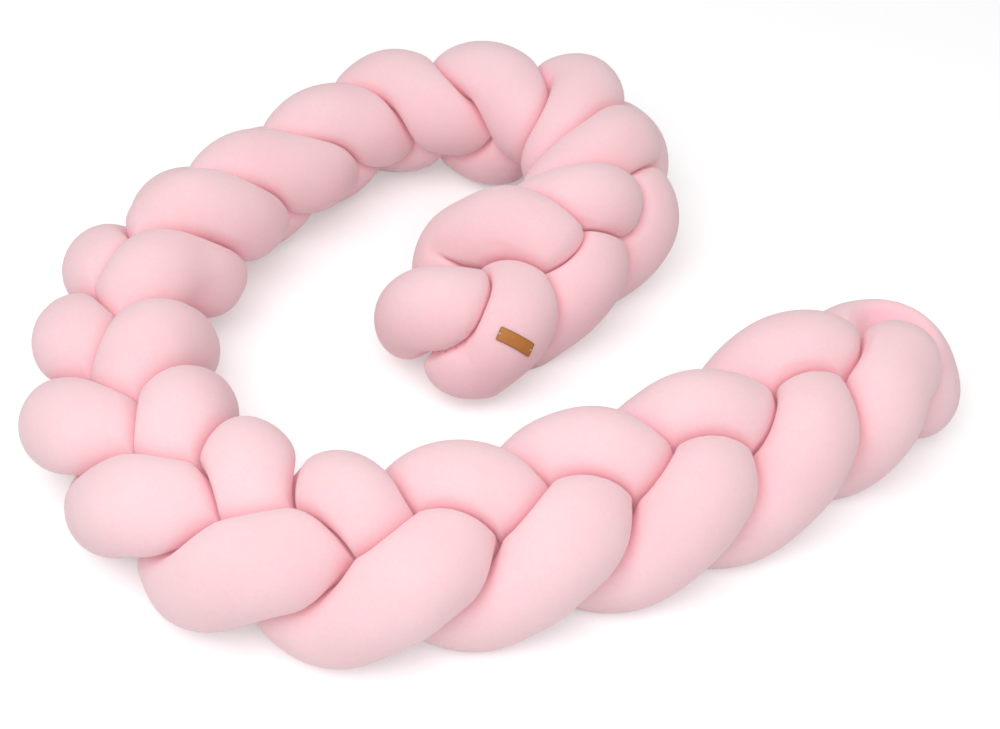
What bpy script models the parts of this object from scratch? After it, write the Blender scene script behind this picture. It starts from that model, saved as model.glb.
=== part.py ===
"""A plaited crib bumper.

Three stuffed jersey tubes are braided over their whole length, and the braid lies in a
loose spiral on a flat surface. A small leather label is sewn to one tube near the inner
end. Sizes are in metres, +Z is up, and the surface that it lies on is at z = 0.
"""

import math

import bmesh
import bpy
import numpy as np
from mathutils import Matrix, Quaternion, Vector

# The tubes. Their cloth is jersey, stuffed firm and round where nothing presses on it. The
# rings of cloth along a tube stand closer on its bends, as if a bend were BEND_ROOM longer
# for each radian that it turns.
TUBE_RADIUS = 0.047
TUBE_GAP = 0.0024
TUBE_SIDES = 14
TUBE_RINGS = 210
END_RINGS = 5
BEND_ROOM = 0.012
CREASE_SHARPNESS = 8
LINE_STEP = 0.005
NEAREST_PRESS = 0.012
FARTHEST_PRESS = 0.190

# The braid. A tube swings to both sides of the middle, and rises and dips twice as often.
SIDE_SWING = 0.052
HEIGHT_SWING = 0.030
CROSSINGS_PER_SWING = 6
TOP_OF_SWING = math.radians(45)

# The places below are measured from the middle of the spiral. This is the middle of the
# whole braid's box from there, which becomes the origin.
BOX_MIDDLE = (-0.0016, -0.0088, 0.0)

# How the braid lies, with a row for every second crossing, from the outer end to the inner.
# x and y are the braid's middle, and rise is its height. roll tips the inner side up, in
# degrees. width and depth stretch the two swings, and lean shears the crossings along.
LIE_COLUMNS = ("crossing", "x", "y", "rise", "roll", "width", "depth", "lean")
LIE = (
    (0, 0.365, -0.105, 0.066, 9, 0.85, 1.00, -0.10),
    (2, 0.295, -0.125, 0.068, 9, 0.85, 1.00, -0.15),
    (4, 0.200, -0.200, 0.068, 9, 0.85, 1.00, -0.15),
    (6, 0.100, -0.250, 0.068, 9, 0.85, 1.00, -0.15),
    (8, -0.015, -0.290, 0.068, 9, 0.85, 1.00, -0.15),
    (10, -0.125, -0.310, 0.068, 8, 0.82, 1.00, -0.05),
    (12, -0.230, -0.275, 0.068, 9, 0.92, 1.00, 0.03),
    (14, -0.305, -0.207, 0.068, 9, 0.91, 1.00, 0.02),
    (16, -0.350, -0.115, 0.068, 13, 0.95, 1.00, -0.12),
    (18, -0.353, -0.014, 0.070, 15, 0.65, 1.00, -0.50),
    (20, -0.331, 0.084, 0.075, 35, 0.90, 0.80, -0.15),
    (22, -0.270, 0.165, 0.074, 48, 0.62, 0.55, 0.00),
    (24, -0.201, 0.238, 0.076, 52, 0.52, 0.50, 0.00),
    (26, -0.127, 0.303, 0.079, 56, 0.60, 0.50, 0.00),
    (28, -0.030, 0.301, 0.083, 65, 0.78, 0.60, 0.00),
    (30, 0.070, 0.271, 0.083, 70, 0.75, 0.90, 0.00),
    (32, 0.106, 0.193, 0.079, 60, 0.66, 1.00, 0.10),
    (34, 0.086, 0.107, 0.073, 52, 0.66, 1.00, 0.22),
    (36, 0.022, 0.045, 0.068, 32, 0.76, 1.00, 0.25),
    (38, -0.035, -0.015, 0.062, 10, 0.80, 0.90, 0.20),
)

# The tubes by name: a crossing where the tube passes over the others, the first and last
# crossing between which it is braided, and the middles of its two tucked ends.
TUBES = {
    "tube_a": {
        "over": 3,
        "braided": (1.0, 35.1),
        "outer_end": ((0.370, -0.130, 0.045), (0.390, -0.087, 0.050), (0.377, -0.046, 0.058)),
        "inner_end": (
            (0.050, 0.058, 0.096),
            (0.016, 0.071, 0.107),
            (-0.017, 0.080, 0.090),
            (-0.041, 0.078, 0.062),
            (-0.040, 0.053, 0.047),
            (-0.022, 0.036, 0.045),
        ),
    },
    "tube_b": {
        "over": 1,
        "braided": (0.9, 35.4),
        "outer_end": ((0.370, -0.060, 0.086), (0.362, -0.103, 0.090)),
        "inner_end": (
            (0.016, 0.055, 0.051),
            (0.014, 0.021, 0.066),
            (0.012, -0.016, 0.080),
            (0.004, -0.036, 0.077),
            (-0.013, -0.041, 0.060),
            (-0.036, -0.041, 0.040),
            (-0.049, -0.039, 0.012),
        ),
    },
    "tube_c": {
        "over": 5,
        "braided": (1.2, 36.9),
        "outer_end": ((0.330, -0.100, 0.045),),
        "inner_end": (
            (-0.020, -0.015, 0.074),
            (-0.046, -0.025, 0.086),
            (-0.071, -0.013, 0.075),
            (-0.078, 0.004, 0.040),
            (-0.075, 0.004, 0.008),
        ),
    },
}

# The label, a leather patch that is laid on one tube from just above, facing this way, and
# bends round it. Its length is turned this far from the level.
LABEL_TUBE = "tube_b"
LABEL_LENGTH = 0.035
LABEL_WIDTH = 0.013
LABEL_THICKNESS = 0.0012
LABEL_GAP = 0.0009
LABEL_ABOVE = (0.017, -0.092, 0.120)
LABEL_FACING = (0.10, -0.60, 0.80)
LABEL_TURN = math.radians(-31)
LABEL_CELLS = (16, 6)

JERSEY_PINK = (0.93, 0.66, 0.70, 1.0)
LEATHER_TAN = (0.42, 0.17, 0.05, 1.0)


def smooth_through(knots, values, at):
    """Read a natural cubic spline through the values at the knots."""
    knots = np.asarray(knots, float)
    values = np.asarray(values, float).reshape(len(knots), -1)
    gaps = np.diff(knots)
    slopes = np.diff(values, axis=0) / gaps[:, None]
    matrix = np.eye(len(knots))
    right = np.zeros_like(values)
    for i in range(1, len(knots) - 1):
        matrix[i, i - 1 : i + 2] = gaps[i - 1], 2 * (gaps[i - 1] + gaps[i]), gaps[i]
        right[i] = 6 * (slopes[i] - slopes[i - 1])
    bends = np.linalg.solve(matrix, right)
    at = np.asarray(at, float)
    span = np.clip(np.searchsorted(knots, at) - 1, 0, len(gaps) - 1)
    step = (at - knots[span])[:, None]
    width = gaps[span][:, None]
    first, last = bends[span], bends[span + 1]
    slope = slopes[span] - width * (2 * first + last) / 6
    return values[span] + step * slope + step**2 * first / 2 + step**3 * (last - first) / (6 * width)


def unit(vectors):
    return vectors / np.linalg.norm(vectors, axis=-1, keepdims=True)


def braid_points(over, crossings):
    """The middle of a tube at the given crossings, where it plaits with the other two."""
    rows = np.array(LIE)
    lie = dict(zip(LIE_COLUMNS[1:], smooth_through(rows[:, 0], rows[:, 1:], crossings).T))
    ahead = smooth_through(rows[:, 0], rows[:, 1:3], crossings + 0.01)
    behind = smooth_through(rows[:, 0], rows[:, 1:3], crossings - 0.01)
    along = unit(np.pad(ahead - behind, ((0, 0), (0, 1))))
    up = np.tile((0.0, 0.0, 1.0), (len(crossings), 1))
    left = np.cross(up, along)
    roll = np.radians(lie["roll"])[:, None]
    out = left * np.cos(roll) - up * np.sin(roll)
    top = left * np.sin(roll) + up * np.cos(roll)
    phase = 2 * math.pi * (crossings - over) / CROSSINGS_PER_SWING + TOP_OF_SWING
    side = (SIDE_SWING * lie["width"] * np.sin(phase))[:, None]
    height = (HEIGHT_SWING * lie["depth"] * np.sin(2 * phase))[:, None]
    middle = np.stack([lie["x"], lie["y"], lie["rise"]], axis=1)
    return middle + out * side + top * height + along * side * lie["lean"][:, None]


def tube_line(tube):
    """The middle line of a tube, as points an even step apart from its outer end to its inner."""
    first, last = tube["braided"]
    crossings = np.linspace(first, last, int((last - first) * 3) + 1)
    points = np.vstack([tube["outer_end"], braid_points(tube["over"], crossings), tube["inner_end"]])
    points = points - BOX_MIDDLE
    reach = np.r_[0, np.cumsum(np.linalg.norm(np.diff(points, axis=0), axis=1))]
    fine = smooth_through(reach, points, np.linspace(0, reach[-1], 4000))
    length = np.r_[0, np.cumsum(np.linalg.norm(np.diff(fine, axis=0), axis=1))]
    even = np.linspace(0, length[-1], int(length[-1] / LINE_STEP) + 1)
    return np.stack([np.interp(even, length, fine[:, axis]) for axis in range(3)], axis=1)


def line_frames(line):
    """A direction along the line at each point, and two across it that don't twist."""
    along = unit(np.gradient(line, axis=0))
    across = [unit(np.cross(along[0], (0.0, 0.0, 1.0)))]
    for direction in along[1:]:
        across.append(unit(across[-1] - direction * (across[-1] @ direction)))
    across = np.array(across)
    return along, across, np.cross(along, across)


def pressed_radius(centres, directions, free_radius, lines):
    """How far the cloth reaches from a tube's middle before it meets cloth or itself."""
    points = np.vstack(lines)
    reach = np.full(directions.shape[:2], np.inf)
    for i, (centre, rays) in enumerate(zip(centres, directions)):
        offsets = points - centre
        distances = (offsets**2).sum(axis=1)
        near = (distances < FARTHEST_PRESS**2) & (distances > NEAREST_PRESS**2)
        forward = np.maximum(rays @ offsets[near].T, 1e-6)
        reach[i] = (distances[near] / (2 * forward)).min(axis=1)
    reach = reach - TUBE_GAP / 2
    softened = free_radius**-CREASE_SHARPNESS + reach**-CREASE_SHARPNESS
    return softened ** (-1 / CREASE_SHARPNESS)


def end_rounding(stations, length):
    """Each end closes in a half ball: the share of the radius that is left at each station."""
    from_end = np.minimum(np.minimum(stations, length - stations) / TUBE_RADIUS, 1)
    return np.sqrt(np.maximum(1 - (1 - from_end) ** 2, 0))


def ring_stations(line, rings):
    """Places along the line for the rings, drawn together on its bends and where the ends close."""
    length = LINE_STEP * (len(line) - 1)
    turn = np.linspace(0, math.pi / 2, END_RINGS + 1)[1:]
    cap = TUBE_RADIUS * (1 - np.cos(turn))
    along = unit(np.diff(line, axis=0))
    bend = np.arccos(np.clip((along[1:] * along[:-1]).sum(axis=1), -1, 1))
    room = np.r_[0, np.cumsum(LINE_STEP + BEND_ROOM * np.r_[0, bend])]
    reach = LINE_STEP * np.arange(len(line))
    ends = np.interp((TUBE_RADIUS, length - TUBE_RADIUS), reach, room)
    middle = np.interp(np.linspace(*ends, rings - 2 * END_RINGS + 2)[1:-1], room, reach)
    return np.r_[cap, middle, length - cap[::-1]]


def read_along(line, values, stations):
    """Values given at each point of the line, read at places measured along it."""
    knots = LINE_STEP * np.arange(len(line))
    return np.stack([np.interp(stations, knots, values[:, axis]) for axis in range(3)], axis=1)


def cloth_points(line, lines, stations, angles):
    """Points on a tube's cloth, a row for each station, at these angles round its line."""
    along, across, upward = line_frames(line)
    centres = read_along(line, line, stations)
    sideways = unit(read_along(line, across, stations))[:, None]
    upwards = unit(read_along(line, upward, stations))[:, None]
    directions = sideways * np.cos(angles)[..., None] + upwards * np.sin(angles)[..., None]
    radius = pressed_radius(centres, directions, TUBE_RADIUS, lines)
    length = LINE_STEP * (len(line) - 1)
    radius = radius * end_rounding(stations, length)[:, None]
    points = centres[:, None] + directions * radius[:, :, None]
    points[:, :, 2] = np.maximum(points[:, :, 2], 0)
    return points


def material(name, colour, roughness):
    finish = bpy.data.materials.new(name)
    finish.use_nodes = True
    shader = finish.node_tree.nodes["Principled BSDF"]
    shader.inputs["Base Color"].default_value = colour
    shader.inputs["Roughness"].default_value = roughness
    shader.inputs["Metallic"].default_value = 0.0
    return finish


def add_object(name, mesh, finish, collection):
    piece = bpy.data.objects.new(name, mesh)
    piece.data.materials.append(finish)
    collection.objects.link(piece)
    return piece


def add_tube(name, line, lines, finish, collection):
    """Draw a ball out along the tube's line: each of its rings becomes a ring of the cloth."""
    stations = ring_stations(line, TUBE_RINGS)
    angles = np.linspace(0, 2 * math.pi, TUBE_SIDES, endpoint=False)[None, :]
    cloth = cloth_points(line, lines, stations, np.repeat(angles, TUBE_RINGS, axis=0))
    ball = bmesh.new()
    bmesh.ops.create_uvsphere(ball, u_segments=TUBE_SIDES, v_segments=TUBE_RINGS + 1, radius=1.0)
    for vertex in ball.verts:
        x, y, z = vertex.co
        ring = round(math.acos(max(-1.0, min(1.0, z))) / math.pi * (TUBE_RINGS + 1))
        side = -round(math.atan2(y, x) / (2 * math.pi) * TUBE_SIDES) % TUBE_SIDES
        if ring == 0:
            vertex.co = line[0]
        elif ring == TUBE_RINGS + 1:
            vertex.co = line[-1]
        else:
            vertex.co = cloth[ring - 1, side]
    mesh = bpy.data.meshes.new(name)
    ball.to_mesh(mesh)
    ball.free()
    mesh.shade_smooth()
    return add_object(name, mesh, finish, collection)


def add_label(tube, finish, collection):
    """A flat patch over the tube's cloth, drawn down onto it and given its thickness."""
    square = Vector(LABEL_FACING).to_track_quat("Z", "Y")
    turned = square @ Quaternion((0, 0, 1), LABEL_TURN)
    bpy.ops.mesh.primitive_grid_add(
        x_subdivisions=LABEL_CELLS[0],
        y_subdivisions=LABEL_CELLS[1],
        size=1,
        location=Vector(LABEL_ABOVE) - Vector(BOX_MIDDLE),
        rotation=turned.to_euler(),
    )
    label = bpy.context.object
    label.name = "label"
    label.data.transform(Matrix.Diagonal((LABEL_LENGTH, LABEL_WIDTH, 1, 1)))
    label.data.materials.append(finish)
    for owner in label.users_collection:
        owner.objects.unlink(label)
    collection.objects.link(label)
    drawn_on = label.modifiers.new("on the cloth", "SHRINKWRAP")
    drawn_on.target = tube
    drawn_on.wrap_method = "PROJECT"
    drawn_on.use_project_z = True
    drawn_on.use_positive_direction = False
    drawn_on.use_negative_direction = True
    drawn_on.offset = LABEL_GAP
    leather = label.modifiers.new("leather", "SOLIDIFY")
    leather.thickness = LABEL_THICKNESS
    leather.offset = 1.0
    return label


def clear_scene():
    for leftover in list(bpy.data.objects):
        bpy.data.objects.remove(leftover)


def main():
    clear_scene()
    bumper = bpy.data.collections.new("crib_bumper")
    bpy.context.scene.collection.children.link(bumper)
    jersey = material("cotton jersey", JERSEY_PINK, 0.9)
    leather = material("vegetable-tanned leather", LEATHER_TAN, 0.6)
    lines = {name: tube_line(tube) for name, tube in TUBES.items()}
    tubes = {
        name: add_tube(name, line, list(lines.values()), jersey, bumper) for name, line in lines.items()
    }
    add_label(tubes[LABEL_TUBE], leather, bumper)


if __name__ == "__main__":
    main()
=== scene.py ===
"""A plaited crib bumper, dressed round its solid model.

Three stuffed jersey tubes are braided over their whole length, and the braid lies in a
loose spiral. Each tube here is a fine knitted skin that replaces its plain solid, and a short
cloth simulation fills it. A small leather label is sewn on by one stitch at each end, and the
tucked inner ends of the tubes are closed by hand stitches. All sizes are in metres, in the
frame of the solid model.
"""

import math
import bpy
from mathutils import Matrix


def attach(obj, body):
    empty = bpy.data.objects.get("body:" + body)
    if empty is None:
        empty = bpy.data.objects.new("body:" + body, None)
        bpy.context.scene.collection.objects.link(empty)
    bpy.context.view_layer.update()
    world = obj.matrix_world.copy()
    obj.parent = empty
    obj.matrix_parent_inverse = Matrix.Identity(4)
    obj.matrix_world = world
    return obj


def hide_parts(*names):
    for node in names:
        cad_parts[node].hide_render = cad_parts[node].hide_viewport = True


bl_info = {
    "name": "Plaited Crib Bumper",
    "version": (1, 0, 0),
    "blender": (4, 5, 0),
    "location": "View3D > Sidebar > Crib Bumper",
    "description": "Makes the stuffed tubes, label, stitches and studio of a plaited crib bumper",
    "category": "Add Mesh",
}

import bpy
import numpy as np
from bpy.props import FloatProperty, FloatVectorProperty, IntProperty, PointerProperty
from bpy.types import Operator, Panel, PropertyGroup
from mathutils import Matrix, Quaternion, Vector
from mathutils.bvhtree import BVHTree

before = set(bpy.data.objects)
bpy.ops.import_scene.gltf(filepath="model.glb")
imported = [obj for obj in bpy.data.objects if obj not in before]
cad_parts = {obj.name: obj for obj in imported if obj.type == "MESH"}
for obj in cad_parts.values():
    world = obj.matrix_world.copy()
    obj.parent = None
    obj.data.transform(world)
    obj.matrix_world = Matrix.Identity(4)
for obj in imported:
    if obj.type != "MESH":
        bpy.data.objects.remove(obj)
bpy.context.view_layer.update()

# The braid. A tube swings to both sides of the middle, and rises and dips twice as often.
SIDE_SWING = 0.052
HEIGHT_SWING = 0.030
CROSSINGS_PER_SWING = 6
TOP_OF_SWING = math.radians(45)

# A tube's line runs smoothly through a few points for each crossing. It is worked out at many
# fine points, and cut from those into even steps.
POINTS_PER_CROSSING = 3
FINE_POINTS = 8000
LINE_STEP = 0.0025

# Cloth presses on a tube from every line point that is between these distances away. The
# sharpness is how suddenly a lobe turns into its crease, before and after it is filled.
NEAREST_PRESS = 0.012
FARTHEST_PRESS = 0.190
CREASE_SHARPNESS = 8
FILLED_SHARPNESS = 20

# One ring in this many goes to each rounded end of a tube.
RINGS_PER_END_RING = 36

# Slow swells of the filling: how often each goes round the tube, and its length along it.
STUFFING_WAVES = ((0, 0.140), (1, 0.095), (1, 0.060), (2, 0.075), (3, 0.048))

# The jersey while its filling goes in, and for how many frames that lasts.
FILLING_FRAMES = 20
CLOTH = {
    "quality": 4,
    "mass": 0.3,
    "tension_stiffness": 20,
    "compression_stiffness": 20,
    "bending_stiffness": 1.0,
}

# The places below are measured from the middle of the spiral. This is the middle of the
# whole braid's box from there, which is the origin.
BOX_MIDDLE = (-0.0016, -0.0088, 0.0)

# How the braid lies, with a row for every second crossing, from the outer end to the inner.
# x and y are the braid's middle, and rise is its height. roll tips the inner side up, in
# degrees. width and depth stretch the two swings, and lean shears the crossings along.
LIE_COLUMNS = ("crossing", "x", "y", "rise", "roll", "width", "depth", "lean")
LIE = (
    (0, 0.365, -0.105, 0.066, 9, 0.85, 1.00, -0.10),
    (2, 0.295, -0.125, 0.068, 9, 0.85, 1.00, -0.15),
    (4, 0.200, -0.200, 0.068, 9, 0.85, 1.00, -0.15),
    (6, 0.100, -0.250, 0.068, 9, 0.85, 1.00, -0.15),
    (8, -0.015, -0.290, 0.068, 9, 0.85, 1.00, -0.15),
    (10, -0.125, -0.310, 0.068, 8, 0.82, 1.00, -0.05),
    (12, -0.230, -0.275, 0.068, 9, 0.92, 1.00, 0.03),
    (14, -0.305, -0.207, 0.068, 9, 0.91, 1.00, 0.02),
    (16, -0.350, -0.115, 0.068, 13, 0.95, 1.00, -0.12),
    (18, -0.353, -0.014, 0.070, 15, 0.65, 1.00, -0.50),
    (20, -0.331, 0.084, 0.075, 35, 0.90, 0.80, -0.15),
    (22, -0.270, 0.165, 0.074, 48, 0.62, 0.55, 0.00),
    (24, -0.201, 0.238, 0.076, 52, 0.52, 0.50, 0.00),
    (26, -0.127, 0.303, 0.079, 56, 0.60, 0.50, 0.00),
    (28, -0.030, 0.301, 0.083, 65, 0.78, 0.60, 0.00),
    (30, 0.070, 0.271, 0.083, 70, 0.75, 0.90, 0.00),
    (32, 0.106, 0.193, 0.079, 60, 0.66, 1.00, 0.10),
    (34, 0.086, 0.107, 0.073, 52, 0.66, 1.00, 0.22),
    (36, 0.022, 0.045, 0.068, 32, 0.76, 1.00, 0.25),
    (38, -0.035, -0.015, 0.062, 10, 0.80, 0.90, 0.20),
)

# The tubes by name: a crossing where the tube passes over the others, the first and last
# crossing between which it is braided, and the middles of its two tucked ends.
TUBES = {
    "tube_a": {
        "over": 3,
        "braided": (1.0, 35.1),
        "outer_end": ((0.370, -0.130, 0.045), (0.390, -0.087, 0.050), (0.377, -0.046, 0.058)),
        "inner_end": (
            (0.050, 0.058, 0.096),
            (0.016, 0.071, 0.107),
            (-0.017, 0.080, 0.090),
            (-0.041, 0.078, 0.062),
            (-0.040, 0.053, 0.047),
            (-0.022, 0.036, 0.045),
        ),
    },
    "tube_b": {
        "over": 1,
        "braided": (0.9, 35.4),
        "outer_end": ((0.370, -0.060, 0.086), (0.362, -0.103, 0.090)),
        "inner_end": (
            (0.016, 0.055, 0.051),
            (0.014, 0.021, 0.066),
            (0.012, -0.016, 0.080),
            (0.004, -0.036, 0.077),
            (-0.013, -0.041, 0.060),
            (-0.036, -0.041, 0.040),
            (-0.049, -0.039, 0.012),
        ),
    },
    "tube_c": {
        "over": 5,
        "braided": (1.2, 36.9),
        "outer_end": ((0.330, -0.100, 0.045),),
        "inner_end": (
            (-0.020, -0.015, 0.074),
            (-0.046, -0.025, 0.086),
            (-0.071, -0.013, 0.075),
            (-0.078, 0.004, 0.040),
            (-0.075, 0.004, 0.008),
        ),
    },
}

# The label's tube, a place above its middle, the way it faces and how far it is turned. Its
# cells are the faces along and across it, and its edges are rubbed round by its rounding.
LABEL_TUBE = "tube_b"
LABEL_ABOVE = (0.017, -0.092, 0.120)
LABEL_FACING = (0.10, -0.60, 0.80)
LABEL_TURN = math.radians(-31)
LABEL_CELLS = (56, 20)
LABEL_ROUNDING = 0.0003
LABEL_PATH_POINTS = 15

# The seam by hand that closes the inner end, along the crease between these two tubes. Its
# path is settled into the middle of the crease in a few tries, and its thread is this share
# of the label's thread.
SEAM_TUBES = ("tube_c", "tube_b")
SEAM_PATH_POINTS = 40
SEAM_SETTLINGS = 3
SEAM_THREAD_SHARE = 0.8
SEAM = (
    (-0.013, -0.024, 0.122),
    (-0.014, -0.039, 0.114),
    (-0.018, -0.047, 0.102),
    (-0.024, -0.056, 0.095),
    (-0.028, -0.063, 0.093),
    (-0.040, -0.067, 0.084),
    (-0.052, -0.067, 0.078),
    (-0.065, -0.054, 0.060),
)

# A stitch is an arch with one handle. In radii of its thread, its ends dip this far into the
# cloth and its handle stands this far over it, which lays the thread on the cloth.
STITCH_DIP = 2.5
STITCH_HANDLE = 4.5

# Where thread or a tucked fold draws the cloth in: x, y and z, then the dent's radius and depth.
DENTS = (
    (-0.028, -0.063, 0.094, 0.005, 0.0025),
    (-0.040, -0.067, 0.085, 0.006, 0.0030),
    (-0.064, -0.058, 0.063, 0.008, 0.0040),
    (0.085, 0.063, 0.125, 0.005, 0.0030),
    (0.090, 0.064, 0.136, 0.004, 0.0020),
)

# The scale of each pattern. Clouds are 9 cm across in the dye, 4.5 mm in the leather and a
# third of a metre in the paper, and a thread's twist has a band every 0.4 mm.
DYE_CLOUDS = 11.0
LEATHER_CLOUDS = 220.0
PAPER_CLOUDS = 3.0
TWIST_BANDS = 900.0

# The floor lies a little under the tubes, so that they don't cross it where they lie flat.
FLOOR_SIZE = 12
FLOOR_DROP = 0.0008
CAMERA_TILT = math.radians(45)
SOFTBOX_SIZE = (1.8, 1.4)
SOFTBOX_PLACE = (-0.25, -0.9, 1.7)

# The kind of node that does sums, and the sockets of a mix node that hold its two colours and
# give the mixed one.
MATH = "ShaderNodeMath"
ONE_COLOUR, OTHER_COLOUR, MIXED_COLOUR = 6, 7, 2


def linear(hex_colour):
    """An sRGB hex colour as the linear values that a shader works in."""
    shares = [int(hex_colour[i : i + 2], 16) / 255 for i in (0, 2, 4)]
    return [s / 12.92 if s <= 0.04045 else ((s + 0.055) / 1.055) ** 2.4 for s in shares]


def smooth_through(knots, values, at):
    """Read a natural cubic spline through the values at the knots."""
    knots = np.asarray(knots, float)
    values = np.asarray(values, float).reshape(len(knots), -1)
    gaps = np.diff(knots)
    slopes = np.diff(values, axis=0) / gaps[:, None]
    matrix = np.eye(len(knots))
    right = np.zeros_like(values)
    for i in range(1, len(knots) - 1):
        matrix[i, i - 1 : i + 2] = gaps[i - 1], 2 * (gaps[i - 1] + gaps[i]), gaps[i]
        right[i] = 6 * (slopes[i] - slopes[i - 1])
    bends = np.linalg.solve(matrix, right)
    at = np.asarray(at, float)
    span = np.clip(np.searchsorted(knots, at) - 1, 0, len(gaps) - 1)
    step = (at - knots[span])[:, None]
    width = gaps[span][:, None]
    first, last = bends[span], bends[span + 1]
    slope = slopes[span] - width * (2 * first + last) / 6
    cubic = (last - first) / (6 * width)
    return values[span] + step * slope + step**2 * first / 2 + step**3 * cubic


def unit(vectors):
    """The same directions, each with a length of one."""
    return vectors / np.linalg.norm(vectors, axis=-1, keepdims=True)


def braid_points(over, crossings):
    """The middle of a tube at the given crossings, where it plaits with the other two."""
    rows = np.array(LIE)
    lie = dict(zip(LIE_COLUMNS[1:], smooth_through(rows[:, 0], rows[:, 1:], crossings).T))
    step = 0.01
    ahead = smooth_through(rows[:, 0], rows[:, 1:3], crossings + step)
    behind = smooth_through(rows[:, 0], rows[:, 1:3], crossings - step)
    along = unit(np.pad(ahead - behind, ((0, 0), (0, 1))))
    up = np.tile((0.0, 0.0, 1.0), (len(crossings), 1))
    left = np.cross(up, along)
    roll = np.radians(lie["roll"])[:, None]
    out = left * np.cos(roll) - up * np.sin(roll)
    top = left * np.sin(roll) + up * np.cos(roll)
    phase = 2 * math.pi * (crossings - over) / CROSSINGS_PER_SWING + TOP_OF_SWING
    side = (SIDE_SWING * lie["width"] * np.sin(phase))[:, None]
    height = (HEIGHT_SWING * lie["depth"] * np.sin(2 * phase))[:, None]
    middle = np.stack([lie["x"], lie["y"], lie["rise"]], axis=1)
    return middle + out * side + top * height + along * side * lie["lean"][:, None]


def tube_line(tube):
    """The middle line of a tube, as points an even step apart from its outer end to its inner."""
    first, last = tube["braided"]
    crossings = np.linspace(first, last, int((last - first) * POINTS_PER_CROSSING) + 1)
    braided = braid_points(tube["over"], crossings)
    points = np.vstack([tube["outer_end"], braided, tube["inner_end"]]) - BOX_MIDDLE
    reach = np.r_[0, np.cumsum(np.linalg.norm(np.diff(points, axis=0), axis=1))]
    fine = smooth_through(reach, points, np.linspace(0, reach[-1], FINE_POINTS))
    length = np.r_[0, np.cumsum(np.linalg.norm(np.diff(fine, axis=0), axis=1))]
    even = np.linspace(0, length[-1], int(length[-1] / LINE_STEP) + 1)
    return np.stack([np.interp(even, length, fine[:, axis]) for axis in range(3)], axis=1)


def line_frames(line):
    """A direction along the line at each point, and two across it that don't twist."""
    along = unit(np.gradient(line, axis=0))
    across = [unit(np.cross(along[0], (0.0, 0.0, 1.0)))]
    for direction in along[1:]:
        across.append(unit(across[-1] - direction * (across[-1] @ direction)))
    across = np.array(across)
    return along, across, np.cross(along, across)


def room(centres, directions, gap, lines):
    """How far the cloth reaches from a tube's middle before it meets cloth or itself."""
    points = np.vstack(lines)
    reach = np.full(directions.shape[:2], np.inf)
    for i, (centre, rays) in enumerate(zip(centres, directions)):
        offsets = points - centre
        distances = (offsets**2).sum(axis=1)
        near = (distances < FARTHEST_PRESS**2) & (distances > NEAREST_PRESS**2)
        # A point beside or behind a ray counts as barely ahead, so it never stops the cloth.
        forward = np.maximum(rays @ offsets[near].T, 1e-6)
        reach[i] = (distances[near] / (2 * forward)).min(axis=1)
    return reach - gap / 2


def softened(free, reach, sharpness):
    """The smaller of two distances, rounded over where they are alike."""
    return (free**-sharpness + reach**-sharpness) ** (-1 / sharpness)


def ring_stations(length, rings, radius):
    """Places along the line for the rings, drawn together where the ends close."""
    end_rings = rings // RINGS_PER_END_RING
    turn = np.linspace(0, math.pi / 2, end_rings + 1)[1:]
    cap = radius * (1 - np.cos(turn))
    middle = np.linspace(radius, length - radius, rings - 2 * end_rings + 2)[1:-1]
    return np.r_[cap, middle, length - cap[::-1]]


def end_rounding(stations, length, radius):
    """Each end closes in a half ball: the share of the radius that is left at each station."""
    from_end = np.minimum(np.minimum(stations, length - stations) / radius, 1)
    return np.sqrt(np.maximum(1 - (1 - from_end) ** 2, 0))


def read_along(line, values, stations):
    """Values given at each point of the line, read at places measured along it."""
    knots = np.linspace(0, LINE_STEP * (len(line) - 1), len(line))
    return np.stack([np.interp(stations, knots, values[:, axis]) for axis in range(3)], axis=1)


def stuffing(stations, angles, seed, height):
    """Slow swells and hollows where the filling is uneven, as a height for each point."""
    luck = np.random.default_rng(seed)
    swell = np.zeros((len(stations), len(angles)))
    for turns, wave in STUFFING_WAVES:
        start = luck.uniform(0, 2 * math.pi, 2)
        around = np.cos(turns * angles + start[0])[None, :]
        swell += around * np.sin(2 * math.pi * stations / wave + start[1])[:, None]
    return height * swell / 2


class TubeGrid:
    """Rays out from a tube's line, a row for each station, and how far the cloth may go on them."""

    def __init__(self, line, lines, rings, sides, settings):
        along, across, upward = line_frames(line)
        self.tips = line[[0, -1]]
        self.length = LINE_STEP * (len(line) - 1)
        self.stations = ring_stations(self.length, rings, settings.radius)
        self.angles = np.linspace(0, 2 * math.pi, sides, endpoint=False)
        self.centres = read_along(line, line, self.stations)
        sideways = unit(read_along(line, across, self.stations))[:, None]
        upwards = unit(read_along(line, upward, self.stations))[:, None]
        turns = self.angles[None, :, None]
        self.rays = sideways * np.cos(turns) + upwards * np.sin(turns)
        self.reach = room(self.centres, self.rays, settings.gap, lines)
        self.ends = end_rounding(self.stations, self.length, settings.radius)[:, None]

    def points(self, radius):
        """Points at this radius on each ray. The ends close and the underside lies flat."""
        points = self.centres[:, None] + self.rays * (radius * self.ends)[:, :, None]
        points[:, :, 2] = np.maximum(points[:, :, 2], 0)
        return points

    def read(self, other, values):
        """Values that were worked out on another grid of the same tube, read on this one."""
        along = np.stack([np.interp(self.stations, other.stations, column) for column in values.T])
        return np.stack(
            [np.interp(self.angles, other.angles, column, period=2 * math.pi) for column in along.T]
        )


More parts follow.
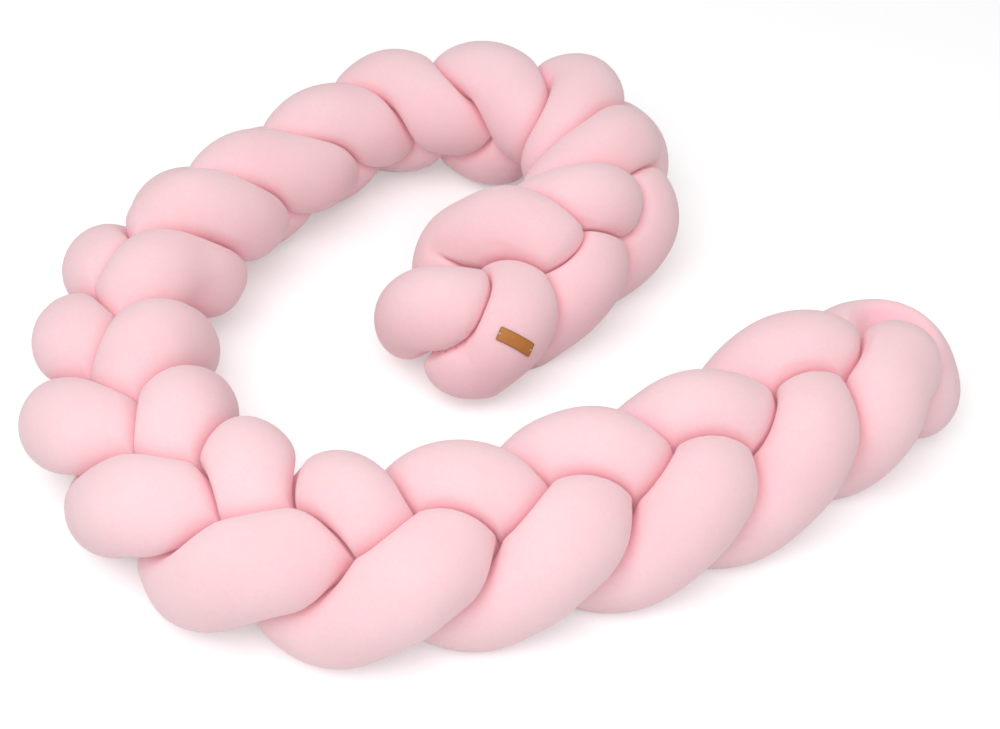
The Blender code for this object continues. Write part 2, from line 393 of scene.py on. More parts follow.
def fill_cloth(grids, settings):
    """Blow the filling into coarse cloths of the tubes, and tell how far out each point goes."""
    cloths = []
    for grid in grids:
        slimmer = settings.radius - settings.slack
        slack = grid.points(softened(slimmer, grid.reach, CREASE_SHARPNESS))
        mesh = bpy.data.meshes.new("filling")
        mesh.from_pydata(*closed_rings(grid.tips, slack))
        cloth = bpy.data.objects.new("filling", mesh)
        bpy.context.scene.collection.objects.link(cloth)
        filling = cloth.modifiers.new("filling", "CLOTH")
        for name, value in CLOTH.items():
            setattr(filling.settings, name, value)
        filling.settings.use_pressure = True
        filling.settings.uniform_pressure_force = settings.pressure
        filling.settings.effector_weights.gravity = 0
        filling.point_cache.frame_end = FILLING_FRAMES
        cloths.append((grid, slack, cloth))
    for frame_number in range(1, FILLING_FRAMES + 1):
        bpy.context.scene.frame_set(frame_number)
    view = bpy.context.evaluated_depsgraph_get()
    swells = []
    for grid, slack, cloth in cloths:
        filled = cloth.evaluated_get(view).data
        places = np.empty(len(filled.vertices) * 3)
        filled.vertices.foreach_get("co", places)
        moved = places.reshape(-1, 3)[1:-1].reshape(slack.shape) - slack
        out = (moved * grid.rays).sum(axis=2)
        swells.append(np.clip(out, -settings.swell, settings.swell))
        bpy.data.objects.remove(cloth)
    bpy.context.scene.frame_set(1)
    return swells


def draw_in(points, grid):
    """Draw the cloth in towards the tube's line at each of the dents."""
    for *place, radius, depth in DENTS:
        far = np.linalg.norm(points - (np.array(place) - BOX_MIDDLE), axis=2)
        points = points - grid.rays * (depth * np.exp(-((far / radius) ** 2)))[:, :, None]
    return points


def closed_rings(tips, points):
    """A closed skin through rings of points, as vertices, edges and faces."""
    rings, sides = points.shape[:2]
    vertices = np.vstack([tips[:1], points.reshape(-1, 3), tips[1:]])
    last = len(vertices) - 1
    ring, side = np.meshgrid(np.arange(rings - 1), np.arange(sides), indexing="ij")
    after = (side + 1) % sides
    here, ahead = ring * sides, (ring + 1) * sides
    corners = (here + side, here + after, ahead + after, ahead + side)
    quads = 1 + np.stack(corners, axis=-1).reshape(-1, 4)
    ends = [(0, 1 + (j + 1) % sides, 1 + j) for j in range(sides)]
    start = 1 + (rings - 1) * sides
    ends += [(last, start + j, start + (j + 1) % sides) for j in range(sides)]
    return vertices.tolist(), [], quads.tolist() + ends


def skin_mesh(name, grid, points, press, radius):
    """The skin of a tube, with a map in metres round and along it, and how far it is pressed in."""
    mesh = bpy.data.meshes.new(name)
    mesh.from_pydata(*closed_rings(grid.tips, points))
    rings, sides = points.shape[:2]
    ring, side = np.meshgrid(np.arange(rings - 1), np.arange(sides), indexing="ij")
    around = 2 * math.pi * radius * np.arange(sides + 1) / sides
    stations = grid.stations
    corners = ((0, 0), (1, 0), (1, 1), (0, 1))
    quad_map = np.stack(
        [np.stack([around[side + i], stations[ring + j]], axis=-1) for i, j in corners], axis=2
    ).reshape(-1, 2)
    first, last = stations[0], stations[-1]
    end_map = []
    for one, other in zip(around, around[1:]):
        end_map += [(one, 0.0), (other, first), (one, first)]
    for one, other in zip(around, around[1:]):
        end_map += [(one, grid.length), (one, last), (other, last)]
    pressed = mesh.attributes.new("press", "FLOAT", "POINT")
    pressed.data.foreach_set("value", np.r_[0, press.ravel(), 0])
    knit = mesh.uv_layers.new(name="knit")
    knit.data.foreach_set("uv", np.vstack([quad_map, end_map]).ravel())
    mesh.shade_smooth()
    return mesh


def add_object(name, mesh, finish):
    """Put a mesh in the scene under this name, in this material."""
    mesh.materials.append(finish)
    piece = bpy.data.objects.new(name, mesh)
    bpy.context.scene.collection.objects.link(piece)
    return piece


def add(tree, kind, inputs=None, output=0, **settings):
    """Add a node with its settings, give its inputs values or links, and return an output."""
    node = tree.nodes.new(kind)
    for name, value in settings.items():
        setattr(node, name, value)
    for key, value in (inputs or {}).items():
        if isinstance(value, bpy.types.NodeSocket):
            tree.links.new(value, node.inputs[key])
        else:
            node.inputs[key].default_value = value
    return node.outputs[output] if node.outputs else None


def new_material(name):
    """A material and its empty tree. What glows in it is too faint to be sampled as a lamp."""
    finish = bpy.data.materials.new(name)
    finish.use_nodes = True
    finish.cycles.emission_sampling = "NONE"
    finish.node_tree.nodes.clear()
    return finish, finish.node_tree


def skin_of(node):
    """The skin of a tube as a tree that finds its nearest places."""
    mesh = bpy.data.objects[node + "_jersey"].data
    return BVHTree.FromPolygons([v.co for v in mesh.vertices], [p.vertices for p in mesh.polygons])


def hand_stitches():
    """Thread laid over cloth along a path, with both ends of each stitch dipping in.

    The path's points carry where up is and which way a stitch lies there.
    """
    tree = bpy.data.node_groups.new("hand stitches", "GeometryNodeTree")
    for name, kind in (
        ("Path", "NodeSocketGeometry"),
        ("Spacing", "NodeSocketFloat"),
        ("Stitch Length", "NodeSocketFloat"),
        ("Thread Radius", "NodeSocketFloat"),
        ("Thread", "NodeSocketMaterial"),
    ):
        tree.interface.new_socket(name=name, in_out="INPUT", socket_type=kind)
    tree.interface.new_socket(name="Stitches", in_out="OUTPUT", socket_type="NodeSocketGeometry")
    given = tree.nodes.new("NodeGroupInput").outputs
    thick = given["Thread Radius"]
    path = add(tree, "GeometryNodeMeshToCurve", {"Mesh": given["Path"]})
    spaced = {"Curve": path, "Length": given["Spacing"]}
    places = add(tree, "GeometryNodeResampleCurve", spaced, mode="LENGTH")
    half = add(tree, MATH, {0: given["Stitch Length"], 1: 0.5}, operation="MULTIPLY")
    back = add(tree, MATH, {0: half, 1: -1.0}, operation="MULTIPLY")
    dip = add(tree, MATH, {0: thick, 1: -STITCH_DIP}, operation="MULTIPLY")
    over = add(tree, MATH, {0: thick, 1: STITCH_HANDLE}, operation="MULTIPLY")
    start, handle, end = (
        add(tree, "ShaderNodeCombineXYZ", {"X": x, "Z": z})
        for x, z in ((back, dip), (0.0, over), (half, dip))
    )
    bend = {"Resolution": 12, "Start": start, "Middle": handle, "End": end}
    arch = add(tree, "GeometryNodeCurveQuadraticBezier", bend)
    outline = add(tree, "GeometryNodeCurvePrimitiveCircle", {"Resolution": 10, "Radius": thick})
    drawn = {"Curve": arch, "Profile Curve": outline, "Fill Caps": True}
    stitch = add(tree, "GeometryNodeCurveToMesh", drawn)
    up, lay = (
        add(tree, "GeometryNodeInputNamedAttribute", {"Name": name}, data_type="FLOAT_VECTOR")
        for name in ("up", "lay")
    )
    align = "FunctionNodeAlignRotationToVector"
    upright = add(tree, align, {"Vector": up}, axis="Z")
    turned = add(tree, align, {"Rotation": upright, "Vector": lay}, axis="X", pivot_axis="Z")
    laid = {"Points": places, "Instance": stitch, "Rotation": turned}
    sewn = add(tree, "GeometryNodeInstanceOnPoints", laid)
    real = add(tree, "GeometryNodeRealizeInstances", {"Geometry": sewn})
    dressed = {"Geometry": real, "Material": given["Thread"]}
    add(tree, "NodeGroupOutput", {"Stitches": add(tree, "GeometryNodeSetMaterial", dressed)})
    return tree


def sew(name, tree, path, ups, lays, sizes, thread):
    """Run the stitches along a path and keep them as a plain mesh."""
    mesh = bpy.data.meshes.new(name)
    mesh.from_pydata(path, [(i, i + 1) for i in range(len(path) - 1)], [])
    for attribute, vectors in (("up", ups), ("lay", lays)):
        held = mesh.attributes.new(attribute, "FLOAT_VECTOR", "POINT")
        held.data.foreach_set("vector", np.asarray(vectors, float).ravel())
    seam = add_object(name, mesh, thread)
    stitches = seam.modifiers.new("hand stitches", "NODES")
    stitches.node_group = tree
    values = {**sizes, "Thread": thread}
    for socket in tree.interface.items_tree:
        if socket.name in values:
            stitches[socket.identifier] = values[socket.name]
    view = bpy.context.evaluated_depsgraph_get()
    plain = bpy.data.meshes.new_from_object(seam.evaluated_get(view))
    seam.modifiers.clear()
    seam.data = plain
    plain.shade_smooth()
    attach(seam, "root")
    return seam


def cotton_jersey(settings, circumference):
    """Cotton single jersey, brushed: matt, with fine columns of V loops and a soft pale fuzz."""
    finish, tree = new_material("cotton single jersey, brushed")
    place = add(tree, "ShaderNodeUVMap", uv_map="knit")
    around = add(tree, "ShaderNodeSeparateXYZ", {0: place}, "X")
    along = around.node.outputs["Y"]

    # A wale is a column of Vs. The legs of each slant away from the middle of the column.
    wales = round(circumference / settings.wale)
    column = add(tree, MATH, {0: around, 1: wales / circumference}, operation="MULTIPLY")
    across = add(tree, MATH, {0: column}, operation="FRACT")
    off_middle = add(tree, MATH, {0: across, 1: 0.5}, operation="SUBTRACT")
    leg = add(tree, MATH, {0: off_middle}, operation="ABSOLUTE")
    slant = add(tree, MATH, {0: leg, 1: 1.5}, operation="MULTIPLY")
    course = add(tree, MATH, {0: along, 1: settings.course}, operation="DIVIDE")
    row = add(tree, MATH, {0: course, 1: slant}, operation="SUBTRACT")
    leg_turn = add(tree, MATH, {0: leg, 1: 2 * math.pi}, operation="MULTIPLY")
    row_turn = add(tree, MATH, {0: row, 1: 2 * math.pi}, operation="MULTIPLY")
    yarn = add(tree, MATH, {0: leg_turn}, operation="SINE")
    loop = add(tree, MATH, {0: row_turn}, operation="COSINE")
    loop_height = add(tree, MATH, {0: loop, 1: 0.3, 2: 0.7}, operation="MULTIPLY_ADD")
    knit = add(tree, MATH, {0: yarn, 1: loop_height}, operation="MULTIPLY")

    # Brushing raises tufts over the loops, and between them the cloth is a little smoother.
    spot = add(tree, "ShaderNodeTexCoord", output="Object")
    tufts = {"Vector": spot, "Scale": 1 / settings.fuzz, "Detail": 3.0, "Roughness": 0.7}
    fuzz = add(tree, "ShaderNodeTexNoise", tufts, "Fac")
    knit_part = add(tree, MATH, {0: knit, 1: 0.7}, operation="MULTIPLY")
    height = add(tree, MATH, {0: fuzz, 1: 0.5, 2: knit_part}, operation="MULTIPLY_ADD")
    raised = {"Height": height, "Strength": 0.45, "Distance": settings.knit_depth}
    bump = add(tree, "ShaderNodeBump", raised)
    worn = {"Value": fuzz, "From Min": 0.3, "From Max": 0.7, "To Min": 0.82, "To Max": 0.95}
    wear = add(tree, "ShaderNodeMapRange", worn)

    # The dye is a little uneven. Where the cloth is pressed, a deeper and more saturated pink is
    # painted in: painted shade in the creases between the tubes, with the pink of light bounced
    # between them.
    clouds = {"Vector": spot, "Scale": DYE_CLOUDS, "Detail": 2.0, "Roughness": 0.5}
    cloud = add(tree, "ShaderNodeTexNoise", clouds, "Fac")
    fuzz_part = add(tree, MATH, {0: fuzz, 1: 0.4}, operation="MULTIPLY")
    mottle = add(tree, MATH, {0: cloud, 1: 0.6, 2: fuzz_part}, operation="MULTIPLY_ADD")
    spread = {"Value": mottle, "From Min": 0.35, "From Max": 0.65}
    pinks = {
        "Factor": add(tree, "ShaderNodeMapRange", spread),
        ONE_COLOUR: (*settings.deep, 1.0),
        OTHER_COLOUR: (*settings.pale, 1.0),
    }
    dyed = add(tree, "ShaderNodeMix", pinks, MIXED_COLOUR, data_type="RGBA")
    # Painted shade: the more the cloth is pressed, the more of the crease pink is mixed in.
    press = add(tree, "ShaderNodeAttribute", output="Fac", attribute_name="press")
    pressed = {"Value": press, "From Min": 0.04, "From Max": 0.30}
    painted_crease_shade = {
        "Factor": add(tree, "ShaderNodeMapRange", pressed),
        ONE_COLOUR: dyed,
        OTHER_COLOUR: (*settings.crease, 1.0),
    }
    colour = add(tree, "ShaderNodeMix", painted_crease_shade, MIXED_COLOUR, data_type="RGBA")

    # Painted light: where the cloth is pressed it glows a pale pink, as if light came through from
    # the white filling, which lifts the shade in the creases.
    painted_crease_light = {"Value": press, "From Min": 0.02, "From Max": 0.16, "To Max": settings.glow}
    shader = add(
        tree,
        "ShaderNodeBsdfPrincipled",
        {
            "Base Color": colour,
            "Roughness": wear,
            "Normal": bump,
            "Subsurface Weight": 0.5,
            "Subsurface Radius": (1.0, 0.45, 0.45),
            "Subsurface Scale": 0.012,
            "Emission Color": (1.0, 0.82, 0.86, 1.0),
            "Emission Strength": add(tree, "ShaderNodeMapRange", painted_crease_light),
            "Sheen Weight": 0.1,
            "Sheen Roughness": 0.6,
            "Specular IOR Level": 0.2,
        },
    )
    add(tree, "ShaderNodeOutputMaterial", {"Surface": shader})
    return finish


def tanned_leather(settings):
    """Vegetable-tanned leather, waxed: warm tan, with a pebbled grain and darker rubbed edges."""
    finish, tree = new_material("vegetable-tanned leather, waxed")
    place = add(tree, "ShaderNodeUVMap", uv_map="cut")
    grain = {"Vector": place, "Scale": 1 / settings.grain}
    cells = add(tree, "ShaderNodeTexVoronoi", grain, "Distance", feature="DISTANCE_TO_EDGE")
    clouds = {"Vector": place, "Scale": LEATHER_CLOUDS, "Detail": 3.0, "Roughness": 0.6}
    cloud = add(tree, "ShaderNodeTexNoise", clouds, "Fac")
    crease = add(tree, "ShaderNodeMapRange", {"Value": cells, "From Min": 0.0, "From Max": 0.25})
    height = add(tree, MATH, {0: cloud, 1: 0.6, 2: crease}, operation="MULTIPLY_ADD")
    bump = add(tree, "ShaderNodeBump", {"Height": height, "Strength": 0.5, "Distance": 0.00015})

    # How far inside the label's edge a place is. The edge is rubbed dark over about a millimetre.
    x = add(tree, "ShaderNodeSeparateXYZ", {0: place}, "X")
    off_x = add(tree, MATH, {0: x}, operation="ABSOLUTE")
    off_y = add(tree, MATH, {0: x.node.outputs["Y"]}, operation="ABSOLUTE")
    from_end = add(tree, MATH, {0: settings.length / 2, 1: off_x}, operation="SUBTRACT")
    from_side = add(tree, MATH, {0: settings.width / 2, 1: off_y}, operation="SUBTRACT")
    from_edge = add(tree, MATH, {0: from_end, 1: from_side}, operation="MINIMUM")
    rubbed = {"Value": from_edge, "From Min": 0.0002, "From Max": 0.0014}
    inner = add(tree, "ShaderNodeMapRange", rubbed)
    uneven = add(tree, MATH, {0: cloud, 1: 0.9, 2: 0.45}, operation="MULTIPLY_ADD")
    tan = add(tree, MATH, {0: inner, 1: uneven}, operation="MULTIPLY")
    browns = {
        "Factor": tan,
        ONE_COLOUR: (*settings.edge, 1.0),
        OTHER_COLOUR: (*settings.tan, 1.0),
    }
    colour = add(tree, "ShaderNodeMix", browns, MIXED_COLOUR, data_type="RGBA")
    rough = add(tree, MATH, {0: crease, 1: -0.12, 2: 0.58}, operation="MULTIPLY_ADD")
    face = {"Base Color": colour, "Roughness": rough, "Normal": bump, "Coat Weight": 0.1}
    shader = add(tree, "ShaderNodeBsdfPrincipled", face)
    add(tree, "ShaderNodeOutputMaterial", {"Surface": shader})
    return finish


def spun_thread(name, colour):
    """Spun polyester sewing thread: matt, with its twist showing as slanting darker lines."""
    finish, tree = new_material(name)
    spot = add(tree, "ShaderNodeTexCoord", output="Object")
    bands = {"Vector": spot, "Scale": TWIST_BANDS, "Distortion": 2.0}
    twist = add(tree, "ShaderNodeTexWave", bands, "Fac", bands_direction="DIAGONAL")
    tones = {
        "Factor": twist,
        ONE_COLOUR: (*[0.6 * share for share in colour], 1.0),
        OTHER_COLOUR: (*colour, 1.0),
    }
    spun = add(tree, "ShaderNodeMix", tones, MIXED_COLOUR, data_type="RGBA")
    bump = add(tree, "ShaderNodeBump", {"Height": twist, "Strength": 0.6, "Distance": 0.0001})
    face = {"Base Color": spun, "Roughness": 0.8, "Normal": bump}
    add(tree, "ShaderNodeOutputMaterial", {"Surface": add(tree, "ShaderNodeBsdfPrincipled", face)})
    return finish


def studio_paper(colour, glow):
    """Matt seamless paper: its glow is for the camera alone, so it looks white but lights less."""
    finish, tree = new_material("seamless studio paper, matt")
    spot = add(tree, "ShaderNodeTexCoord", output="Object")
    clouds = {"Vector": spot, "Scale": PAPER_CLOUDS, "Detail": 2.0}
    cloud = add(tree, "ShaderNodeTexNoise", clouds, "Fac")
    whites = {
        "Factor": cloud,
        ONE_COLOUR: (*[0.99 * share for share in colour], 1.0),
        OTHER_COLOUR: (*colour, 1.0),
    }
    seen = add(tree, "ShaderNodeLightPath", output="Is Camera Ray")
    face = {
        "Base Color": add(tree, "ShaderNodeMix", whites, MIXED_COLOUR, data_type="RGBA"),
        "Roughness": 0.9,
        "Specular IOR Level": 0.1,
        "Emission Color": (1.0, 1.0, 1.0, 1.0),
        "Emission Strength": add(tree, MATH, {0: seen, 1: glow}, operation="MULTIPLY"),
    }
    add(tree, "ShaderNodeOutputMaterial", {"Surface": add(tree, "ShaderNodeBsdfPrincipled", face)})
    return finish


class TubeSettings(PropertyGroup):
    radius: FloatProperty(
        name="Tube radius",
        description="Half the thickness of a stuffed tube where nothing presses on it",
        default=0.047,
        subtype="DISTANCE",
    )
    gap: FloatProperty(
        name="Crease gap",
        description="What is left between two tubes that press on each other",
        default=0.0005,
        subtype="DISTANCE",
    )
    stuffing: FloatProperty(
        name="Stuffing swell",
        description="How high the filling swells and sinks under the cloth",
        default=0.0008,
        subtype="DISTANCE",
    )
    slack: FloatProperty(
        name="Slack",
        description="How much thinner the cloth is before its filling goes in",
        default=0.0015,
        subtype="DISTANCE",
    )
    pressure: FloatProperty(
        name="Filling pressure", description="How hard the filling pushes out", default=6.0
    )
    swell: FloatProperty(
        name="Largest swell",
        description="How far the filling may move the cloth",
        default=0.005,
        subtype="DISTANCE",
    )
    sides: IntProperty(name="Sides", description="Points round a tube", default=96, min=8)
    rings: IntProperty(
        name="Rings", description="Rings of points along a tube", default=900, min=72
    )


class JerseySettings(PropertyGroup):
    pale: FloatVectorProperty(
        name="Pale pink",
        description="The jersey's lighter pink",
        default=linear("F4D2D7"),
        subtype="COLOR",
    )
    deep: FloatVectorProperty(
        name="Deep pink",
        description="The jersey's darker pink",
        default=linear("F1CACF"),
        subtype="COLOR",
    )
    # Painted shade: the crease pink is painted where the tubes press together, for the shade and
    # bounced pink light in the creases.
    crease: FloatVectorProperty(
        name="Crease pink",
        description="The jersey where it is pressed together",
        default=linear("FAC1CA"),
        subtype="COLOR",
    )
    # Painted light: the crease glow is an emission that lifts the shade in the creases.
    glow: FloatProperty(
        name="Crease glow",
        description="Light that comes through the cloth from its white filling where it is pressed",
        default=0.07,
    )
    wale: FloatProperty(
        name="Wale width",
        description="Width of a column of loops, drawn about twice as coarse as real jersey",
        default=0.0022,
        subtype="DISTANCE",
    )
    course: FloatProperty(
        name="Course height",
        description="Height of a row of loops, drawn about twice as coarse as real jersey",
        default=0.0018,
        subtype="DISTANCE",
    )
    knit_depth: FloatProperty(
        name="Knit depth",
        description="How deep the loops stand",
        default=0.0003,
        subtype="DISTANCE",
    )
    fuzz: FloatProperty(
        name="Fuzz grain",
        description="Size of the tufts that brushing raises",
        default=0.004,
        subtype="DISTANCE",
    )


class LabelSettings(PropertyGroup):
    length: FloatProperty(
        name="Length",
        description="The label's length",
        default=0.035,
        subtype="DISTANCE",
    )
    width: FloatProperty(
        name="Width",
        description="The label's width",
        default=0.013,
        subtype="DISTANCE",
    )
    thickness: FloatProperty(
        name="Thickness",
        description="The leather's thickness",
        default=0.0012,
        subtype="DISTANCE",
    )
    corner: FloatProperty(
        name="Corner radius",
        description="How round the corners are cut",
        default=0.0012,
        subtype="DISTANCE",
    )
    gap: FloatProperty(
        name="Gap",
        description="What is left between leather and cloth",
        default=0.0004,
        subtype="DISTANCE",
    )
    grain: FloatProperty(
        name="Grain",
        description="Size of a pebble of the grain",
        default=0.0009,
        subtype="DISTANCE",
    )
    tan: FloatVectorProperty(
        name="Tan", description="The leather's face", default=linear("B87832"), subtype="COLOR"
    )
    edge: FloatVectorProperty(
        name="Edge",
        description="The leather's rubbed edge",
        default=linear("8E5520"),
        subtype="COLOR",
    )


class StitchSettings(PropertyGroup):
    thread: FloatProperty(
        name="Thread radius",
        description="Half the thread's thickness",
        default=0.00035,
        subtype="DISTANCE",
    )
    label_stitch: FloatProperty(
        name="Label stitch",
        description="Length of the stitch at each end of the label",
        default=0.0042,
        subtype="DISTANCE",
    )
    label_inset: FloatProperty(
        name="Label inset",
        description="How far inside the label's end the middle of its stitch lies",
        default=0.0012,
        subtype="DISTANCE",
    )
    seam_stitch: FloatProperty(
        name="Seam stitch",
        description="Length of a stitch across the seam at the inner end",
        default=0.0032,
        subtype="DISTANCE",
    )
    seam_spacing: FloatProperty(
        name="Seam spacing",
        description="From one stitch of the seam to the next",
        default=0.011,
        subtype="DISTANCE",
    )
    slant: FloatProperty(
        name="Seam slant",
        description="How far the seam's stitches lean, as a share of their length across the seam",
        default=0.5,
    )
    label_thread: FloatVectorProperty(
        name="Label thread",
        description="The thread that holds the label",
        default=linear("F6F1E8"),
        subtype="COLOR",
    )
    seam_thread: FloatVectorProperty(
        name="Seam thread",
        description="The thread that closes the inner end",
        default=linear("E79AA8"),
        subtype="COLOR",
    )


class StudioSettings(PropertyGroup):
    lens: FloatProperty(
        name="Focal length", description="The camera's lens, in millimetres", default=59.22
    )
    camera_height: FloatProperty(
        name="Camera height",
        description="The camera's height above the floor",
        default=1.171,
        subtype="DISTANCE",
    )
    camera_distance: FloatProperty(
        name="Camera distance",
        description="How far the camera stands back from the middle, along the floor",
        default=1.1712,
        subtype="DISTANCE",
    )
    key_power: FloatProperty(
        name="Softbox", description="Power of the softbox above the camera", default=24.5
    )
    paper: FloatVectorProperty(
        name="Paper", description="The paper floor", default=linear("EEEEEE"), subtype="COLOR"
    )
    paper_light: FloatProperty(
        name="Paper light", description="Glow of the paper that clears its shadows", default=0.30
    )
    sky: FloatProperty(
        name="Room light", description="Strength of the even light all round", default=0.54
    )


class BUMPER_OT_studio(Operator):
    """Set up the camera, the paper floor and the soft studio light"""

    bl_idname = "bumper.studio"
    bl_label = "Studio"

    def execute(self, context):
        settings = context.scene.bumper_studio
        scene = context.scene
        lens = bpy.data.cameras.new("camera")
        lens.lens = settings.lens
        lens.sensor_width = 36.0
        camera = bpy.data.objects.new("camera", lens)
        camera.location = (-BOX_MIDDLE[0], -settings.camera_distance, settings.camera_height)
        camera.rotation_euler = (CAMERA_TILT, 0, 0)
        scene.collection.objects.link(camera)
        scene.camera = camera
        bpy.ops.mesh.primitive_plane_add(size=FLOOR_SIZE, location=(0, 0, -FLOOR_DROP))
        floor = context.object
        floor.name = "floor"
        floor.data.materials.append(studio_paper(settings.paper, settings.paper_light))
        softbox = bpy.data.lights.new("softbox", "AREA")
        softbox.shape = "RECTANGLE"
        softbox.size, softbox.size_y = SOFTBOX_SIZE
        softbox.energy = settings.key_power
        lamp = bpy.data.objects.new("softbox", softbox)
        lamp.location = SOFTBOX_PLACE
        lamp.rotation_euler = (-lamp.location).to_track_quat("-Z", "Y").to_euler()
        scene.collection.objects.link(lamp)
        world = bpy.data.worlds.new("studio room")
        world.use_nodes = True
        world.node_tree.nodes.clear()
        white = {"Color": (1.0, 1.0, 1.0, 1.0), "Strength": settings.sky}
        light = add(world.node_tree, "ShaderNodeBackground", white)
        add(world.node_tree, "ShaderNodeOutputWorld", {"Surface": light})
        scene.world = world
        scene.view_settings.view_transform = "Standard"
        return {"FINISHED"}


class BUMPER_OT_tubes(Operator):
    """Plait the three stuffed jersey tubes and lay them in their spiral"""

    bl_idname = "bumper.tubes"
    bl_label = "Stuffed tubes"

    def execute(self, context):
        settings = context.scene.bumper_tubes
        circumference = 2 * math.pi * settings.radius
        jersey = cotton_jersey(context.scene.bumper_jersey, circumference)
        lines = [tube_line(tube) for tube in TUBES.values()]
        rings, sides = settings.rings, settings.sides
        coarse = [TubeGrid(line, lines, rings // 2, sides // 2, settings) for line in lines]
        swells = fill_cloth(coarse, settings)
        for seed, (name, line) in enumerate(zip(TUBES, lines)):
            grid = TubeGrid(line, lines, rings, sides, settings)
            free = settings.radius + stuffing(grid.stations, grid.angles, seed, settings.stuffing)
            slack = softened(free - settings.slack, grid.reach, CREASE_SHARPNESS)
            filled = slack + grid.read(coarse[seed], swells[seed])
            radius = softened(filled, grid.reach, FILLED_SHARPNESS)
            points = draw_in(grid.points(radius), grid)
            mesh = skin_mesh(name + "_jersey", grid, points, 1 - radius / free, settings.radius)
            piece = add_object(name + "_jersey", mesh, jersey)
            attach(piece, "root")
            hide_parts(name)
        return {"FINISHED"}


def round_corners(x, y, length, width, radius):
    """Draw the corners of a rectangle of points in to a radius."""
    inner_x, inner_y = length / 2 - radius, width / 2 - radius
    dx, dy = np.abs(x) - inner_x, np.abs(y) - inner_y
    corner = (dx > 0) & (dy > 0)
    far = np.hypot(dx, dy)
    shrink = np.where(corner, np.maximum(dx, dy) / np.where(corner, far, 1), 1)
    x = np.where(corner, np.sign(x) * (inner_x + dx * shrink), x)
    y = np.where(corner, np.sign(y) * (inner_y + dy * shrink), y)
    return x, y


def on_label_tube(flat):
    """Places on the tube under a flat pattern of the label, and the way the cloth faces there."""
    skin = skin_of(LABEL_TUBE)
    facing = Vector(LABEL_FACING).normalized()
    turned = facing.to_track_quat("Z", "Y") @ Quaternion((0, 0, 1), LABEL_TURN)
    pattern = Matrix.LocRotScale(Vector(LABEL_ABOVE) - Vector(BOX_MIDDLE), turned, None)
    return [skin.ray_cast(pattern @ Vector((u, v, 0)), -facing)[:2] for u, v in flat]


class BUMPER_OT_label(Operator):
    """Cut the leather label and bend it over its tube"""

    bl_idname = "bumper.label"
    bl_label = "Leather label"

    def execute(self, context):
        settings = context.scene.bumper_label
        columns, rows = LABEL_CELLS
        x, y = np.meshgrid(
            np.linspace(-settings.length / 2, settings.length / 2, columns + 1),
            np.linspace(-settings.width / 2, settings.width / 2, rows + 1),
            indexing="ij",
        )
        x, y = round_corners(x, y, settings.length, settings.width, settings.corner)
        flat = np.stack([x.ravel(), y.ravel()], axis=1)
        vertices = [place + normal * settings.gap for place, normal in on_label_tube(flat)]
        quads = []
        for i in range(columns):
            for j in range(rows):
                corner = i * (rows + 1) + j
                quads.append((corner, corner + rows + 1, corner + rows + 2, corner + 1))
        mesh = bpy.data.meshes.new("label_leather")
        mesh.from_pydata(vertices, [], quads)
        cut = mesh.uv_layers.new(name="cut")
        corners = [index for quad in quads for index in quad]
        cut.data.foreach_set("uv", flat[corners].ravel())
        label = add_object("label_leather", mesh, tanned_leather(settings))
        leather = label.modifiers.new("leather", "SOLIDIFY")
        leather.thickness = settings.thickness
        leather.offset = 1.0
        edge = label.modifiers.new("rubbed edge", "BEVEL")
        edge.width = LABEL_ROUNDING
        edge.segments = 2
        edge.angle_limit = math.radians(50)
        mesh.shade_smooth()
        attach(label, "root")
        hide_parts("label")
        return {"FINISHED"}


def label_path(label, reach):
    """A path over the label's face from one stitch to the other, and where up is on it."""
    under = on_label_tube([(u, 0) for u in np.linspace(-reach, reach, LABEL_PATH_POINTS)])
    raised = label.gap + label.thickness
    return [place + normal * raised for place, normal in under], [normal for _, normal in under]


def seam_path():
    """A path along the crease that the seam closes, where up is on it and the way across."""
    near, far = (skin_of(tube) for tube in SEAM_TUBES)
    at = np.linspace(0, len(SEAM) - 1, SEAM_PATH_POINTS)
    path, ups, across = [], [], []
    for place in smooth_through(range(len(SEAM)), SEAM, at):
        middle = Vector(place) - Vector(BOX_MIDDLE)
        for _ in range(SEAM_SETTLINGS):
            one, other = near.find_nearest(middle), far.find_nearest(middle)
            middle = (one[0] + other[0]) / 2
        path.append(middle)
        ups.append((one[1] + other[1]).normalized())
        across.append((one[1] - other[1]).normalized())
    return path, ups, across


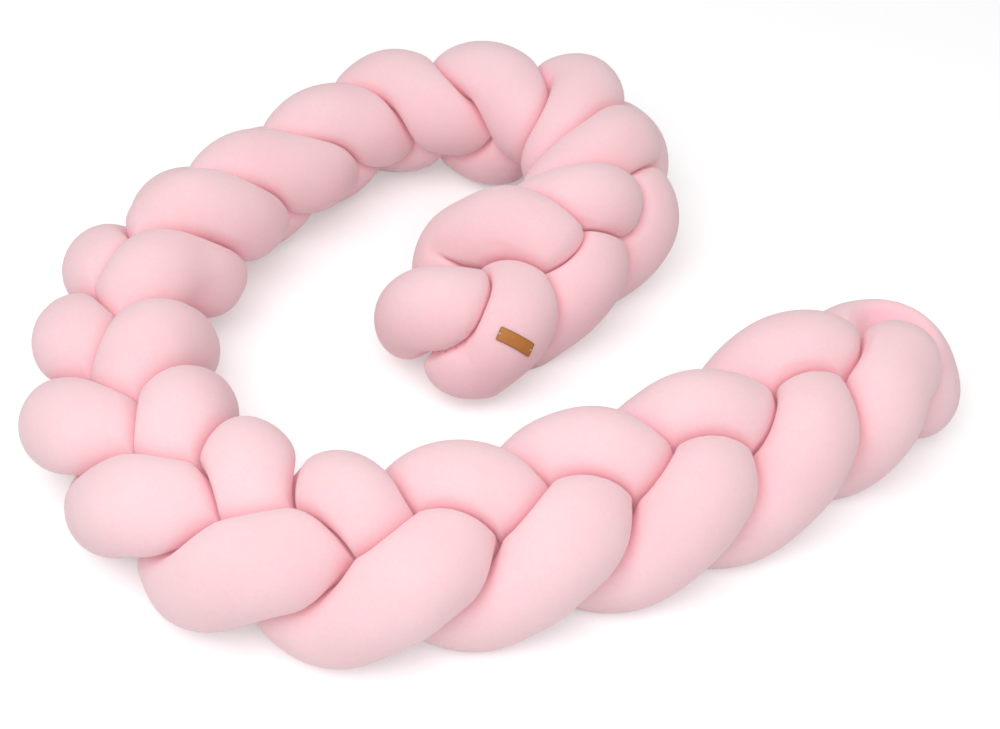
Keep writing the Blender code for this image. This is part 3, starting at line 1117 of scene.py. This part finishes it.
class BUMPER_OT_stitches(Operator):
    """Sew the label on and close the tucked inner end by hand"""

    bl_idname = "bumper.stitches"
    bl_label = "Hand stitches"

    def execute(self, context):
        settings = context.scene.bumper_stitches
        label = context.scene.bumper_label
        tree = hand_stitches()

        # The spacing is more than half the path, so only its two ends get a stitch.
        reach = label.length / 2 - settings.label_inset
        sizes = {
            "Spacing": 1.6 * reach,
            "Stitch Length": settings.label_stitch,
            "Thread Radius": settings.thread,
        }
        path, ups = label_path(label, reach)
        lays = np.gradient(np.array(path), axis=0)
        thread = spun_thread("spun polyester thread, cream", settings.label_thread)
        stitches = sew("label_stitches", tree, path, ups, lays, sizes, thread)

        # These stitches lie across the crease and lean along it.
        sizes = {
            "Spacing": settings.seam_spacing,
            "Stitch Length": settings.seam_stitch,
            "Thread Radius": settings.thread * SEAM_THREAD_SHARE,
        }
        path, ups, across = seam_path()
        lays = np.array(across) + settings.slant * unit(np.gradient(np.array(path), axis=0))
        thread = spun_thread("spun polyester thread, rose", settings.seam_thread)
        stitches = sew("end_seam", tree, path, ups, lays, sizes, thread)
        return {"FINISHED"}


class BUMPER_PT_panel(Panel):
    """Buttons and sizes of the crib bumper"""

    bl_label = "Crib Bumper"
    bl_idname = "BUMPER_PT_panel"
    bl_space_type = "VIEW_3D"
    bl_region_type = "UI"
    bl_category = "Crib Bumper"

    def draw(self, context):
        for operator, *groups in PIECES:
            box = self.layout.box()
            box.operator(operator)
            for group in groups:
                for name in SETTINGS[group].__annotations__:
                    box.prop(getattr(context.scene, group), name)


SETTINGS = {
    "bumper_studio": StudioSettings,
    "bumper_tubes": TubeSettings,
    "bumper_jersey": JerseySettings,
    "bumper_label": LabelSettings,
    "bumper_stitches": StitchSettings,
}
PIECES = (
    ("bumper.studio", "bumper_studio"),
    ("bumper.tubes", "bumper_tubes", "bumper_jersey"),
    ("bumper.label", "bumper_label"),
    ("bumper.stitches", "bumper_stitches"),
)
CLASSES = (
    *SETTINGS.values(),
    BUMPER_OT_studio,
    BUMPER_OT_tubes,
    BUMPER_OT_label,
    BUMPER_OT_stitches,
    BUMPER_PT_panel,
)


def register():
    for kind in CLASSES:
        bpy.utils.register_class(kind)
    for name, kind in SETTINGS.items():
        setattr(bpy.types.Scene, name, PointerProperty(type=kind))


def unregister():
    for name in SETTINGS:
        delattr(bpy.types.Scene, name)
    for kind in reversed(CLASSES):
        bpy.utils.unregister_class(kind)


def main():
    register()
    bpy.ops.bumper.studio()
    bpy.ops.bumper.tubes()
    bpy.ops.bumper.label()
    bpy.ops.bumper.stitches()


if __name__ == "__main__":
    main()
